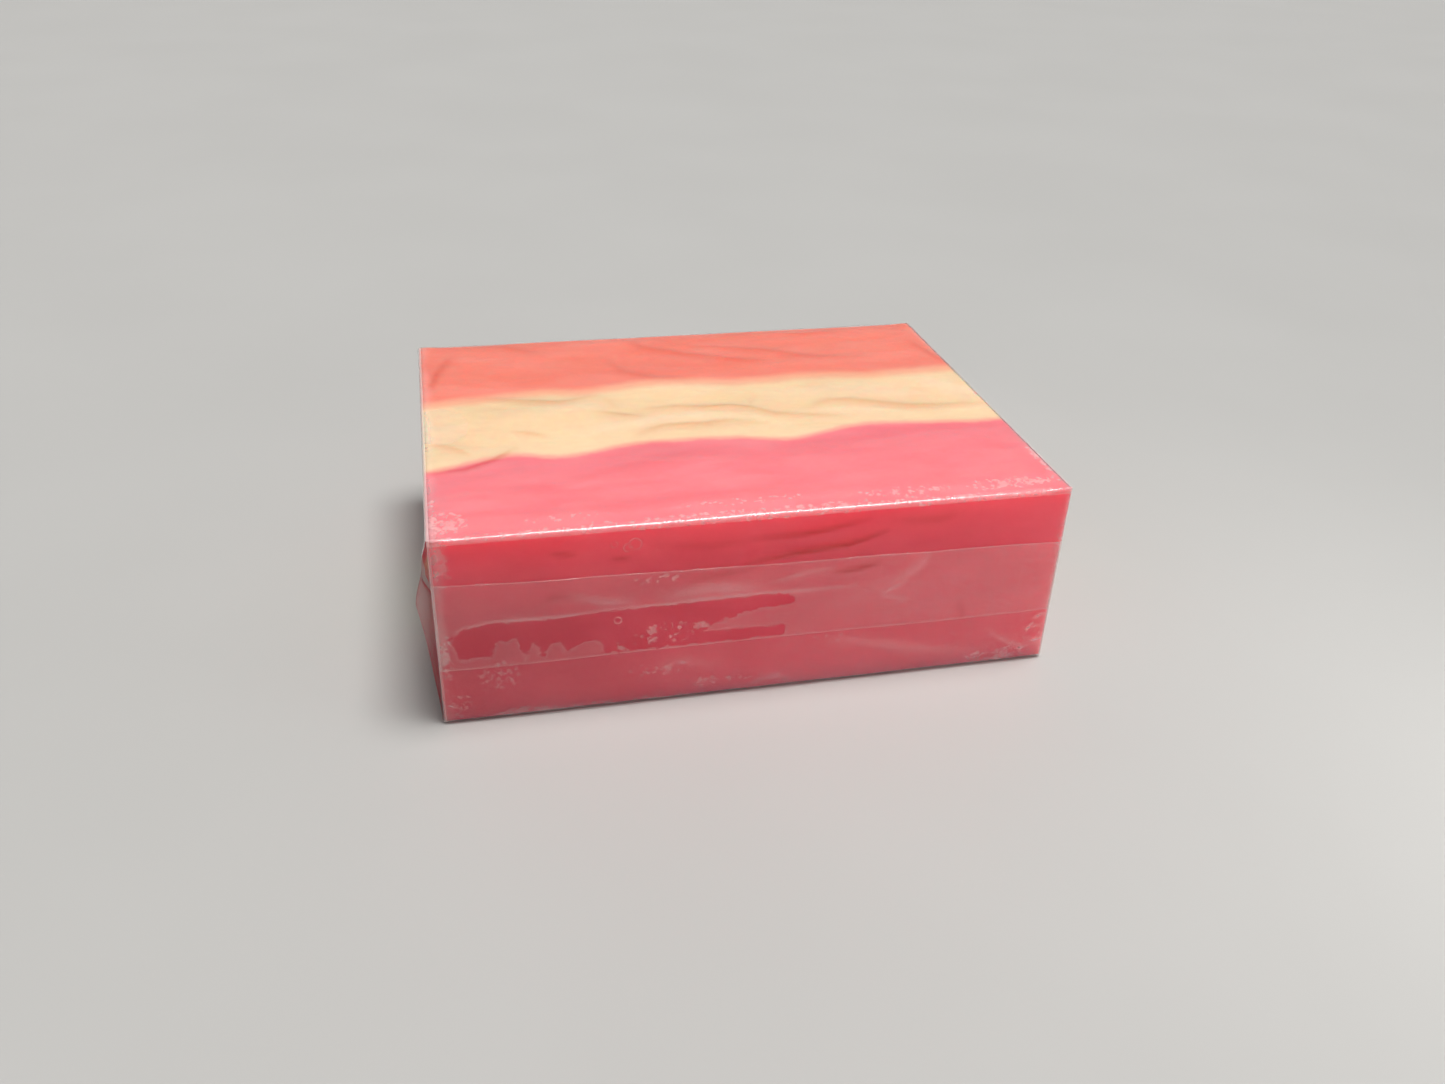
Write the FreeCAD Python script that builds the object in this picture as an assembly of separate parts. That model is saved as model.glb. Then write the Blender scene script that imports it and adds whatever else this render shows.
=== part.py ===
"""Three-layer soap bar in a clear film wrapper.

The bar is a slice of a poured loaf: three soap layers stand side by side along Y and share wavy
joints. One sheet of clear film goes round it as a sleeve, closed by a lap down the front long side.
Past each end of the bar the sheet is folded like an envelope: the front and back tucks go in first,
then the top flap comes down, and the bottom flap goes up over it. The folded corners of the sheet,
the gussets, lie under the flaps.

Frame: X along the bar, Y from front to back, Z up. The origin is at the centre of the resting face.
All sizes are in millimetres.
"""

import FreeCAD
import Part
import os

# Outside of the wrapped bar
LENGTH = 80.0
DEPTH = 60.0
HEIGHT = 26.0

# Film: the thickness of every layer, and the air between two neighbouring layers
FILM = 0.1
AIR = 0.05
FILM_CORNER_RADIUS = 1.0

# Lap down the front: heights of the two free edges of the sheet
LAP_INNER_EDGE = 7.8
LAP_OUTER_EDGE = 19.2

# End folds: how far the sheet runs past the bar, the cut-back of the tucks at the corners,
# and the slits that keep panels clear of each other along a crease
FOLD_LENGTH = 14.5
TUCK_CLEARANCE = 1.1
GUSSET_CLEARANCE = 0.3
CREASE_SLIT = 0.02

# Order of the film layers on each end face, counted outwards from the soap
TUCK, TUCK_LAP, TOP_GUSSET, TOP_FLAP, BOTTOM_GUSSET, BOTTOM_FLAP = range(6)
END_LAYERS = 6

# Soap
SOAP_EDGE_RADIUS = 1.2
# Joints between the soap layers on the upper cut face, as (x, y) points
PINK_TO_CREAM = [
    (-40, -13.0), (-35, -11.2), (-29.5, -9.4), (-21.5, -10.7), (-13, -8.4),
    (0, -8.6), (9, -9.9), (18, -7.4), (27, -7.8), (40, -9.0),
]
CREAM_TO_CORAL = [
    (-40, 7.3), (-31, 8.9), (-22.5, 9.8), (-15.5, 9.4), (-10, 11.0),
    (0, 10.4), (6.5, 9.8), (14, 10.6), (27, 9.7), (40, 10.1),
]
# The lower cut face shows the same waves, turned end for end and flattened
LOWER_WAVE_SHARE = 0.7

# Places that follow from the sizes above
LAYER = FILM + AIR
FILM_END = LENGTH / 2 - END_LAYERS * LAYER + AIR
FILM_BACK = DEPTH / 2 - FILM
LAP_FRONT = FILM - DEPTH / 2
FILM_FRONT = LAP_FRONT + LAYER
FILM_FLOOR = FILM
FILM_ROOF = HEIGHT - FILM
REACH = 10.0


def vector(x, y, z):
    return FreeCAD.Vector(x, y, z)


def box(low, high):
    size = [b - a for a, b in zip(low, high)]
    return Part.makeBox(*size, vector(*low))


def save(name, *solids):
    shape = solids[0] if len(solids) == 1 else Part.makeCompound(list(solids))
    shape.exportStep(os.path.join("parts", name + ".step"))


# Soap layers


def soap_block():
    low = (AIR - FILM_END, FILM_FRONT + AIR, FILM_FLOOR + AIR)
    high = (FILM_END - AIR, FILM_BACK - AIR, FILM_ROOF - AIR)
    block = box(low, high)
    return block.makeFillet(SOAP_EDGE_RADIUS, block.Edges)


def lower_wave(wave):
    """The run of a joint on the lower cut face."""
    middle = sum(y for x, y in wave) / len(wave)
    return [(-x, middle + LOWER_WAVE_SHARE * (y - middle)) for x, y in reversed(wave)]


def joint_outline(wave, z, y_far):
    """A closed outline at one height, from a wavy joint out to a straight line at y_far."""
    curve = Part.BSplineCurve()
    curve.interpolate([vector(x, y, z) for x, y in wave])
    start, end = curve.StartPoint, curve.EndPoint
    far_start, far_end = vector(start.x, y_far, z), vector(end.x, y_far, z)
    sides = [
        Part.makeLine(end, far_end),
        Part.makeLine(far_end, far_start),
        Part.makeLine(far_start, start),
    ]
    return Part.Wire([curve.toShape(), *sides])


def side_of_joint(wave, y_far):
    """A solid that fills one side of a wavy joint, out to y_far."""
    below = joint_outline(lower_wave(wave), FILM_FLOOR, y_far)
    above = joint_outline(wave, FILM_ROOF, y_far)
    return Part.makeLoft([below, above], True, True)


def soap_layers():
    block = soap_block()
    front = side_of_joint(PINK_TO_CREAM, -DEPTH / 2 - REACH)
    back = side_of_joint(CREAM_TO_CORAL, DEPTH / 2 + REACH)
    return {
        "pink_soap_layer": block.common(front),
        "cream_soap_layer": block.cut(front).cut(back),
        "coral_soap_layer": block.common(back),
    }


# Film sleeve


def end_plane(layer):
    """Distance from the bar's middle to the inner face of a film layer on an end."""
    return FILM_END + layer * LAYER


def sleeve_path(grow):
    """Corners of the sheet's path round the bar in the YZ plane, moved outwards by grow."""
    roof, floor = FILM_ROOF + grow, FILM_FLOOR - grow
    front, lap, back = FILM_FRONT - grow, LAP_FRONT - grow, FILM_BACK + grow
    path = [
        (front, LAP_INNER_EDGE), (front, roof), (back, roof),
        (back, floor), (lap, floor), (lap, LAP_OUTER_EDGE),
    ]
    return [vector(0, y, z) for y, z in path]


def rounded_edges(path, radius):
    """Edges of an open path whose right-angled inner corners are arcs."""
    edges = []
    start = path[0]
    for before, corner, after in zip(path, path[1:], path[2:]):
        back_along = (before - corner).normalize()
        on_along = (after - corner).normalize()
        arc_start = corner + back_along * radius
        arc_end = corner + on_along * radius
        centre = corner + (back_along + on_along) * radius
        arc_middle = centre + (corner - centre).normalize() * radius
        edges.append(Part.makeLine(start, arc_start))
        edges.append(Part.Arc(arc_start, arc_middle, arc_end).toShape())
        start = arc_end
    edges.append(Part.makeLine(start, path[-1]))
    return edges


def past_end(sign, plane, low_z, high_z):
    """Room past a plane on the left (-1) or right (+1) end, between two heights."""
    near, far = sorted((sign * plane, sign * (plane + REACH)))
    return box((near, -DEPTH, low_z), (far, DEPTH, high_z))


def film_sleeve():
    inside, outside = sleeve_path(0), sleeve_path(FILM)
    edges = rounded_edges(inside, FILM_CORNER_RADIUS)
    edges += rounded_edges(outside, FILM_CORNER_RADIUS + FILM)
    edges.append(Part.makeLine(inside[0], outside[0]))
    edges.append(Part.makeLine(inside[-1], outside[-1]))
    section = Part.Face(Part.Wire(Part.__sortEdges__(edges)))
    section.translate(vector(-LENGTH / 2, 0, 0))
    sleeve = section.extrude(vector(LENGTH, 0, 0))
    # Each wall of the sleeve stops just short of the panel that folds off it
    low_bend, high_bend = FILM_CORNER_RADIUS, HEIGHT - FILM_CORNER_RADIUS
    walls = ((BOTTOM_FLAP, -REACH, low_bend), (TUCK, low_bend, high_bend), (TOP_FLAP, high_bend, DEPTH))
    for sign in (-1, 1):
        for layer, low_z, high_z in walls:
            sleeve = sleeve.cut(past_end(sign, end_plane(layer) - CREASE_SLIT, low_z, high_z))
    return sleeve


# End folds. Each panel is a flat piece of film, drawn from its own crease: u runs away from the
# crease over the end face, and w runs along it.


def panel(sign, layer, outline):
    """Film on the left (-1) or right (+1) end face, from an outline of (y, z) points."""
    x = sign * end_plane(layer)
    corners = [vector(x, y, z) for y, z in outline]
    face = Part.Face(Part.makePolygon(corners + corners[:1]))
    return face.extrude(vector(sign * FILM, 0, 0))


def level(up, u):
    """Height of a line that lies u away from the bottom (up=1) or top (up=-1) crease."""
    return FILM_FLOOR + u if up > 0 else FILM_ROOF - u


def inset(side, w):
    """The y of a line that lies w in from the front (side=-1) or back (side=1) crease."""
    return FILM_FRONT + w if side < 0 else FILM_BACK - w


def flap(sign, layer, up):
    """A trapezoid with sides mitred at 45 degrees."""
    root, tip = level(up, CREASE_SLIT), level(up, FOLD_LENGTH)
    outline = [
        (inset(-1, CREASE_SLIT), root), (inset(1, CREASE_SLIT), root),
        (inset(1, FOLD_LENGTH), tip), (inset(-1, FOLD_LENGTH), tip),
    ]
    return panel(sign, layer, outline)


def gusset(sign, layer, up, side):
    """The corner of the sheet, folded in under one mitred side of a flap."""
    root = GUSSET_CLEARANCE
    points = [(TUCK_CLEARANCE, root), (FOLD_LENGTH, root)]
    points += [(FOLD_LENGTH, FOLD_LENGTH), (TUCK_CLEARANCE, TUCK_CLEARANCE)]
    return panel(sign, layer, [(inset(side, w), level(up, u)) for w, u in points])


def tuck(sign, side, layer=TUCK, low=FILM_FLOOR, high=FILM_ROOF):
    """The part of a side tuck that shows between the mitres of the two flaps."""
    bottom, top = FILM_FLOOR + TUCK_CLEARANCE, FILM_ROOF - TUCK_CLEARANCE
    low, high = max(low, bottom), min(high, top)
    mitre = [(min(z - bottom, top - z), z) for z in (low, (bottom + top) / 2, high)]
    outline = [(w, z) for w, z in mitre if w > CREASE_SLIT]
    outline = [(CREASE_SLIT, low), *outline, (CREASE_SLIT, high)]
    return panel(sign, layer, [(inset(side, w), z) for w, z in outline])


def end_folds(sign):
    folds = {
        "back_tuck": [tuck(sign, 1)],
        "front_tuck": [tuck(sign, -1, low=LAP_INNER_EDGE)],
        "front_tuck_lap": [tuck(sign, -1, layer=TUCK_LAP, high=LAP_OUTER_EDGE)],
    }
    for name, up, flap_layer, gusset_layer in (
        ("top", -1, TOP_FLAP, TOP_GUSSET),
        ("bottom", 1, BOTTOM_FLAP, BOTTOM_GUSSET),
    ):
        folds[name + "_flap"] = [flap(sign, flap_layer, up)]
        folds[name + "_gussets"] = [gusset(sign, gusset_layer, up, side) for side in (-1, 1)]
    return folds


def main():
    os.makedirs("parts", exist_ok=True)
    for name, solid in soap_layers().items():
        save(name, solid)
    save("film_sleeve", film_sleeve())
    for end, sign in (("left", -1), ("right", 1)):
        for name, solids in end_folds(sign).items():
            save(end + "_" + name, *solids)


main()
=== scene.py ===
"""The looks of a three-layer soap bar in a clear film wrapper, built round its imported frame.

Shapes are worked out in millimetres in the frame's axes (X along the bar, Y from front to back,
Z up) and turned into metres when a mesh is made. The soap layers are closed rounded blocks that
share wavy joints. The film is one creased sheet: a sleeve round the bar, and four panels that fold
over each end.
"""

import math

import bmesh
import bpy
import numpy as np
from mathutils import Matrix, Vector, noise


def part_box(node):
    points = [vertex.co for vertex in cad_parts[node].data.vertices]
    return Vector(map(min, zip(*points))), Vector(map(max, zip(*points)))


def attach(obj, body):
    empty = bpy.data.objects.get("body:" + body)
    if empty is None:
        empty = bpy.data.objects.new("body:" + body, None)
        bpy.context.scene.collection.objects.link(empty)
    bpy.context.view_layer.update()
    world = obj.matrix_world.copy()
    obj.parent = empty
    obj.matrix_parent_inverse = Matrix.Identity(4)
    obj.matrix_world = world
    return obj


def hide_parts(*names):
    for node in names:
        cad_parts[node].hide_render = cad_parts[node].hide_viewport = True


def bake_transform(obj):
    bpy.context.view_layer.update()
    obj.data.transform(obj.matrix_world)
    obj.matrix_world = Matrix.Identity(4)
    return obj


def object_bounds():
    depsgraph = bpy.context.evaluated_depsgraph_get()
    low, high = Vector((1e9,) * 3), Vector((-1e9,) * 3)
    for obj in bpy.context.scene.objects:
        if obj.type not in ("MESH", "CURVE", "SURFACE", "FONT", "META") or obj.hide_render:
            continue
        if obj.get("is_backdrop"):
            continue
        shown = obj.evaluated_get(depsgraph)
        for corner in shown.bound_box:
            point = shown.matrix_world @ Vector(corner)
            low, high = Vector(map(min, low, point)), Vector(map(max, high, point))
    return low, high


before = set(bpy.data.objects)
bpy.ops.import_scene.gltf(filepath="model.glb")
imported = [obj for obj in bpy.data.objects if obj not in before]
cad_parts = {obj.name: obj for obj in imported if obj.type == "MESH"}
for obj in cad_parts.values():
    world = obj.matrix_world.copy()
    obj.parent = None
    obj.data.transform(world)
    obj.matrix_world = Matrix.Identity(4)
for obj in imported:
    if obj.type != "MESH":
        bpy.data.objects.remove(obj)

MM = 0.001
CAD_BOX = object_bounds()

# ---------------- sizes taken from the frame

BOX_LOW = np.array(CAD_BOX[0]) / MM
BOX_HIGH = np.array(CAD_BOX[1]) / MM
LAP_INNER_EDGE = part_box("right_front_tuck")[0].z / MM
LAP_OUTER_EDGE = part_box("right_front_tuck_lap")[1].z / MM
FOLD_LENGTH = (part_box("right_bottom_flap")[1].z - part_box("right_bottom_flap")[0].z) / MM

# ---------------- sizes of the visual model

# The real film is thinner than the CAD film, so here its layers lie closer together, and the soap
# fills the room this leaves. Pulled tight, the film would lie just inside the CAD box round the bar
# and level with it over the ends; its slack and its creases stand out from there.
FILM_THICKNESS = 0.035
LAYER_SPACING = 0.045
FILM_TOP_RADIUS = 0.65
FILM_TOP_RADIUS_AT_END = 0.28
FILM_BOTTOM_RADIUS = 0.3
SOAP_TOP_RADIUS = 0.85
SOAP_SIDE_RADIUS = 0.4
SOAP_EDGE_WOBBLE = 0.15
SOAP_FACE_SUNK = 0.10
JOINT_SWIRL = 0.32

# Inner faces of the film round the bar, pulled tight. FRONT is the inner sheet's at the lap, and
# LAP_FRONT the outer one's.
SKIN = FILM_THICKNESS + 0.015
LAP_FRONT, BASE = BOX_LOW[1:] + SKIN
BACK, ROOF = BOX_HIGH[1:] - SKIN
FRONT = LAP_FRONT + LAYER_SPACING

# The film's layers over each end, from the soap outwards
END_ORDER = ["tuck", "tuck_lap", "top_gussets", "top_flap", "bottom_gussets", "bottom_flap"]
SOAP_END = BOX_HIGH[0] - 0.18
FILM_GAP, END_GAP = 0.02, 0.03
LOW = np.array([-SOAP_END, FRONT + FILM_GAP, BASE + FILM_GAP])
HIGH = np.array([SOAP_END, BACK - FILM_GAP, ROOF - FILM_GAP])


def end_plane(layer):
    """Distance from the bar's middle to one of the film's layers over an end."""
    return SOAP_END + END_GAP + LAYER_SPACING * END_ORDER.index(layer)


# How loosely the film lies: broad and fine waves on the faces, and waves along the two top edges
BROAD_WAVES, FINE_WAVES = 0.20, 0.06
TOP_FRONT_WAVES, TOP_BACK_WAVES = 0.025, 0.03
LAP_EDGE_CLIMB, LAP_EDGE_WAVE, INNER_EDGE_WAVE = 0.018, 0.22, 0.10

# The end panels start at PANEL_ROOT and have turned onto the end CREASE_REACH past the crease
PANEL_ROOT = SOAP_END - 0.3
CREASE_REACH = 0.4
TUCK_UNDER_MITRE = 0.25
WELD = 0.002
CREASE_HAZE = 0.55

# How the flaps spring off the left end at their front corner: height, reach along the end, and the
# depth at which they are fully out
BOTTOM_CURL = (2.1, 5.5, 0.74 * FOLD_LENGTH)
TOP_CURL = (0.6, 6.0, 5.0)

# Soap joints on the upper face, front to back, as (x, y) points; the lower face shows them turned
# end for end and flatter
PINK_TO_CREAM = [
    (-40, -13.0), (-35, -11.2), (-29.5, -9.4), (-21.5, -10.7), (-13, -8.4),
    (0, -8.6), (9, -9.9), (18, -7.4), (27, -7.8), (40, -9.0),
]
CREAM_TO_CORAL = [
    (-40, 7.3), (-31, 8.9), (-22.5, 9.8), (-15.5, 9.4), (-10, 11.0),
    (0, 10.4), (6.5, 9.8), (14, 10.6), (27, 9.7), (40, 10.1),
]
LOWER_WAVE_SHARE = 0.7
# Distance to a joint that a layer hasn't got
NO_JOINT = 99.0

# Creases: the points a crease runs through, its height, its width, and its shade. A shade above 0
# is a dark line of painted shade, one below 0 a pale band.
TOP_CREASES = [
    ([(-31, 8.4), (-26, 6.6), (-21, 5.4), (-15.5, 7)], 0.30, 0.8, 0.8),
    ([(-15, 7), (-14, 4.5), (-13, 2)], 0.18, 0.6, 0.3),
    ([(-16, 1.5), (-13, -0.2), (-10, -1.4)], 0.28, 0.6, 0.8),
    ([(-9.4, 1.5), (-5, 1.6), (-1, 0.6), (2.5, 0.4), (5, -0.6), (8, -2.8), (17, -4.9)], 0.38, 0.7, 1.0),
    ([(5, -0.6), (6, 2.5)], 0.16, 0.5, 0.3),
    ([(13.5, -1.4), (17, 0.2), (20, -0.2), (27.5, -3.0), (33, -3.6), (39.5, -3.2)], 0.36, 1.1, 0.7),
    ([(-28, -3), (-23.7, -5.2)], 0.24, 0.6, 0.7),
    ([(-12, -6.6), (-8, -4.4), (-2.5, -4.9), (1, -4.2), (5.5, -5.6)], 0.30, 0.9, 0.7),
    ([(-39.5, -4.6), (-36, -6.8), (-34, -9)], 0.22, 0.6, 0.6),
    ([(-39.5, -13.2), (-35, -13.4), (-31, -11), (-28, -7.6)], 0.26, 0.7, 0.8),
    ([(-8.7, 29), (-6, 24), (0, 20.5), (8, 17.0), (12, 16)], 0.34, 1.3, 0.45),
    ([(-1, 24.5), (12, 20.5), (20, 16.5), (28, 15.5)], 0.32, 1.4, 0.4),
    ([(-12.5, 21), (-10.5, 15), (-6.5, 12), (-1, 11)], 0.24, 1.2, 0.35),
    ([(-33, 29), (-27, 27.5), (-21, 22.5)], 0.24, 1.2, 0.3),
    ([(14, 28.5), (20, 26.2), (26, 27)], 0.24, 1.2, 0.3),
    ([(-35, 25), (-37.4, 18), (-38.6, 12)], 0.28, 1.0, 0.5),
    ([(36.5, 22), (38, 16), (39.5, 12)], 0.24, 0.9, 0.4),
    ([(-38, -21), (-24, -19.5), (-12, -15), (-2, -12.5)], 0.20, 2.0, 0.16),
    ([(-36, -25), (-20, -25.8), (-4, -24.5), (12, -25.6)], 0.14, 1.6, 0.14),
    ([(-25, 2.8), (-19, 3.6), (-14, 3.6)], 0.06, 3.0, -0.34),
    ([(-22, -4.6), (-12, -2.8), (-4, -1.9), (4, -2.6)], 0.06, 3.0, -0.36),
    ([(8, 2.2), (16, 4.2), (23, 3.4), (30, 0.8)], 0.06, 4.2, -0.34),
    ([(13, -2.6), (19, -2.6), (25, -4.8)], 0.05, 2.4, -0.26),
    ([(31, 7), (36, 3), (39.5, -1.2)], 0.06, 4.6, -0.45),
    ([(-8, 8.8), (0, 7.6), (7, 8.6)], 0.05, 3.0, -0.2),
]
FRONT_CREASES = [
    ([(-2.5, 19.3), (2, 19.9), (5, 20.3), (10.5, 20.7), (13, 21.4), (15.5, 22.2)], 0.34, 0.55, 1.4),
    ([(-2, 22.7), (4, 22.8), (8, 23.2), (13, 24.1)], 0.26, 0.6, 1.0),
    ([(-26, 23), (-23, 22.6)], 0.16, 0.6, 0.8),
    ([(-19, 21.7), (-16.5, 21.4)], 0.16, 0.6, 0.8),
    ([(-14, 23), (-7, 22.2), (-2, 22.6)], 0.18, 0.9, 0.4),
    ([(16, 23.6), (22, 23.2), (25, 24)], 0.14, 1.3, 0.5),
]
LAP_CREASES = [
    ([(-38, 13.4), (-34.5, 14.2), (-30, 14.4), (-26, 14.1), (-21, 14.4), (-17.5, 14.7)], 0.22, 0.5, -0.7),
    ([(-19, 14.8), (-15, 14.5), (-11, 14.6), (-7, 15.0), (-1, 14.9), (5, 14.6), (12, 14.6)],
     0.34, 0.5, -0.8),
    ([(-24, 17.2), (-20, 15.8), (-16, 15.3)], 0.30, 0.9, -0.5),
    ([(-13, 15.6), (-7, 16.4), (0, 15.4)], 0.24, 1.5, -0.6),
    ([(-27, 16.6), (-25.2, 17.3), (-23.4, 16.6)], 0.24, 0.7, 0.4),
    ([(-9, 17.6), (-5, 18.2), (0, 18.8)], 0.22, 0.8, 0.45),
    ([(1.2, 16.2), (5, 17.2), (9, 17.4)], 0.22, 0.5, -0.5),
    ([(9, 16.8), (12, 17.1), (15, 17.6)], 0.30, 0.6, 1.0),
    ([(15, 14.2), (16.2, 12.6), (20, 11.4)], 0.18, 0.6, -0.4),
    ([(15.2, 14.4), (18, 15.4), (20.5, 17), (21.5, 18.6)], 0.30, 1.2, -0.4),
    ([(15.6, 13.2), (18.6, 14.6)], 0.16, 0.4, -0.7),
    ([(26.2, 11), (27, 9), (27.2, 7.6)], 0.20, 0.8, 0.35),
    ([(31, 5.6), (34, 3.4), (36.5, 2.3), (39, 2.3)], 0.26, 0.5, -0.6),
    ([(36.6, 5.2), (37.6, 5.6), (38.6, 5.0)], 0.24, 0.4, -1.0),
    ([(37, 3.4), (38.4, 3.0), (39.4, 3.2)], 0.24, 0.4, -1.0),
    ([(37.4, 6.6), (38.6, 7.0), (39.4, 6.7)], 0.22, 0.4, -0.9),
    ([(-1.6, 0.9), (0.6, 1.9), (2.4, 2.0), (4.3, 0.6)], 0.34, 0.5, -0.5),
    ([(8, 6.8), (14, 5.8), (20, 4.0), (30, 2.4)], 0.18, 1.4, -0.35),
    ([(-14, 5.2), (-10, 5.9), (-6, 4.6)], 0.14, 1.2, -0.3),
]
BACK_CREASES = [
    ([(-30, 20), (-20, 17.2), (-12, 15.5), (4, 17)], 0.30, 1.0, 0.6),
    ([(2, 8), (9, 10.2), (16, 11), (33, 9)], 0.30, 1.1, 0.6),
    ([(-24, 7), (-14, 9.5)], 0.24, 0.8, 0.5),
    ([(14, 22), (20, 20), (26, 19.5)], 0.22, 0.8, 0.5),
    ([(-34, 13), (-24, 12.4), (-10, 10.2)], 0.20, 1.8, -0.5),
    ([(8, 14.5), (18, 16.2), (30, 14)], 0.20, 1.8, -0.5),
    ([(36, 22), (37.5, 14), (36.5, 6)], 0.24, 0.9, 0.5),
]
# On an end: y and z, with y measured from the front on both ends
END_CREASES = [
    ([(-29, 24.6), (-22, 19.5), (-17, 17.6)], 0.16, 0.7, 0.5),
    ([(-13, 25), (-8, 20.6), (-6.5, 16)], 0.16, 1.0, -0.6),
    ([(14, 25), (9.5, 20), (10, 15.6)], 0.14, 1.0, -0.6),
    ([(29, 24.8), (23.5, 20.5), (19, 18.4)], 0.16, 0.7, 0.5),
    ([(-28.5, 1.6), (-22, 5.2), (-16, 9.6)], 0.16, 0.8, 0.5),
    ([(-9, 0.8), (-6, 5.5), (-8.4, 10.6)], 0.16, 1.0, -0.6),
    ([(6, 0.8), (9, 4.6), (15, 8.8)], 0.14, 0.9, 0.4),
    ([(28.6, 1.4), (24, 6.4), (18, 10.4)], 0.16, 0.8, 0.5),
    ([(-28, 13.5), (-22.5, 12.2), (-18, 13)], 0.14, 0.8, -0.6),
    ([(28, 12.5), (22.5, 13.8), (18, 13.2)], 0.14, 0.8, -0.6),
]

# Outline of the place where the film is stuck flat to the soap, and of a pale bubble on the top
FRONT_STUCK = [
    [(-37.3, 9.2), (-38.3, 12.4), (-36.8, 13.6), (-33, 14.1), (-26, 13.9), (-20, 14.3), (2.6, 14.5),
     (4.4, 13.6), (3.4, 12.5), (-1.5, 12.3), (-6.2, 10.9), (-7.2, 9.9), (3.3, 9.7), (3.2, 8.1),
     (-19.6, 8.0), (-20.6, 10.1), (-22.4, 10.2), (-24.4, 8.8), (-25.2, 10.3), (-26.6, 10.1),
     (-27.4, 8.3), (-28.3, 11.0), (-29.4, 8.6), (-30.6, 11.4), (-32.9, 11.3), (-33.4, 9.4)],
]
TOP_BUBBLE = [
    [(-39.6, 5.6), (-36.8, 6.0), (-34.5, 4.2), (-33.6, 1.2), (-34.0, -2.4), (-35.4, -4.6), (-37.4, -5.4),
     (-39.6, -4.6)],
]
# Places with a dew of fine bubbles: middle, half sizes and strength
TOP_DEW = [
    (-37.6, -26.2, 3.6, 3.6, 1.0), (-39.0, -22.5, 1.2, 4.0, 0.8), (-24, -27.2, 10, 1.3, 0.62),
    (-2, -26.8, 14, 1.5, 0.66), (18, -27.4, 10, 1.5, 0.8), (33, -27.4, 9, 2.0, 0.95),
    (39.2, -22, 1.3, 7.0, 0.85), (39.2, 0, 1.0, 5.0, 0.7), (0, -29, 42, 0.8, 0.8),
    (-39.3, 14, 0.8, 14, 0.5), (18, -10.8, 2.5, 1.2, 0.55),
]
FRONT_DEW = [
    (-38.8, 23, 1.9, 4.0, 1.0), (-39.0, 9, 1.3, 6.0, 0.9), (-37.6, 2.4, 2.4, 2.8, 0.85),
    (-30, 0.7, 7.0, 1.1, 0.95), (-20, 0.4, 22, 0.9, 0.8), (33, 1.2, 7.0, 2.0, 0.85),
    (37.6, 5, 2.4, 3.0, 0.75), (39.3, 18, 0.9, 9.0, 0.7), (-12, 10.2, 5.4, 2.4, 0.74),
    (-17, 8.8, 3.5, 1.2, 0.62), (-7.6, 10.9, 1.7, 1.0, 0.9), (-13, 5, 6, 1.6, 0.8),
    (9, 7, 5, 0.9, 0.75), (0, 25.4, 42, 0.7, 0.8),
    (-13, 18.2, 5, 1.0, 0.75), (-33, 6.5, 4, 3.0, 0.8), (-5, 2.2, 7, 1.4, 0.75),
]
# Small ring-shaped bubbles on the front: x, z and radius
FRONT_RINGS = [(-18.5, 23.5, 0.4), (-16.9, 22.9, 0.5), (-16.0, 23.3, 0.75), (-18.2, 12.7, 0.45)]


# ---------------- numbers over arrays


def smooth(value, low, high):
    """0 below low, 1 above high, and an even S between them."""
    t = np.clip((np.asarray(value, float) - low) / (high - low), 0, 1)
    return t * t * (3 - 2 * t)


def ripple(points, size, shift=0.0, stretch=(1, 1, 1)):
    """Smooth noise of about -1 to 1 at each point of an array, with waves about size across."""
    points = np.asarray(points, float)
    flat = points.reshape(-1, 3) / (np.array(stretch) * size) + shift
    values = [noise.noise(Vector(p)) for p in flat]
    return 1.6 * np.array(values).reshape(points.shape[:-1])


def gap_to_line(across, up, a, b):
    """Distance to the straight piece from a to b, and how far along it the nearest point is."""
    along_x, along_y = b[0] - a[0], b[1] - a[1]
    t = ((across - a[0]) * along_x + (up - a[1]) * along_y) / (along_x**2 + along_y**2)
    t = np.clip(t, 0, 1)
    return np.hypot(across - a[0] - t * along_x, up - a[1] - t * along_y), t


def crease_field(across, up, creases):
    """Height, painted shade and paleness of a set of creases at points given by two arrays."""
    height, dark, pale = (np.zeros(across.shape) for _ in range(3))
    for points, crest, width, shade in creases:
        nearest = np.full(across.shape, 1e9)
        fade = np.zeros(across.shape)
        pieces = len(points) - 1
        for i, (a, b) in enumerate(zip(points, points[1:])):
            gap, t = gap_to_line(across, up, a, b)
            fade = np.where(gap < nearest, np.sin(np.pi * (0.08 + 0.84 * (i + t) / pieces)), fade)
            nearest = np.minimum(nearest, gap)
        height += crest * fade * np.exp(-nearest / width)
        tone = abs(shade) * fade * np.exp(-((nearest / (0.6 * width)) ** 2))
        if shade > 0:
            dark = np.maximum(dark, tone)
        else:
            pale = np.maximum(pale, tone)
    return height, dark, pale


FAR_OUTSIDE = -9.0


def depth_inside(across, up, outlines):
    """Distance inside the nearest of some closed outlines, below 0 outside them."""
    best = np.full(across.shape, FAR_OUTSIDE)
    for outline in outlines:
        nearest = np.full(across.shape, -FAR_OUTSIDE)
        inside = np.zeros(across.shape, bool)
        for a, b in zip(outline, outline[1:] + outline[:1]):
            nearest = np.minimum(nearest, gap_to_line(across, up, a, b)[0])
            if a[1] != b[1]:
                crossing = a[0] + (b[0] - a[0]) * (up - a[1]) / (b[1] - a[1])
                inside ^= ((a[1] > up) != (b[1] > up)) & (across < crossing)
        best = np.maximum(best, np.where(inside, nearest, -nearest))
    return best


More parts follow.
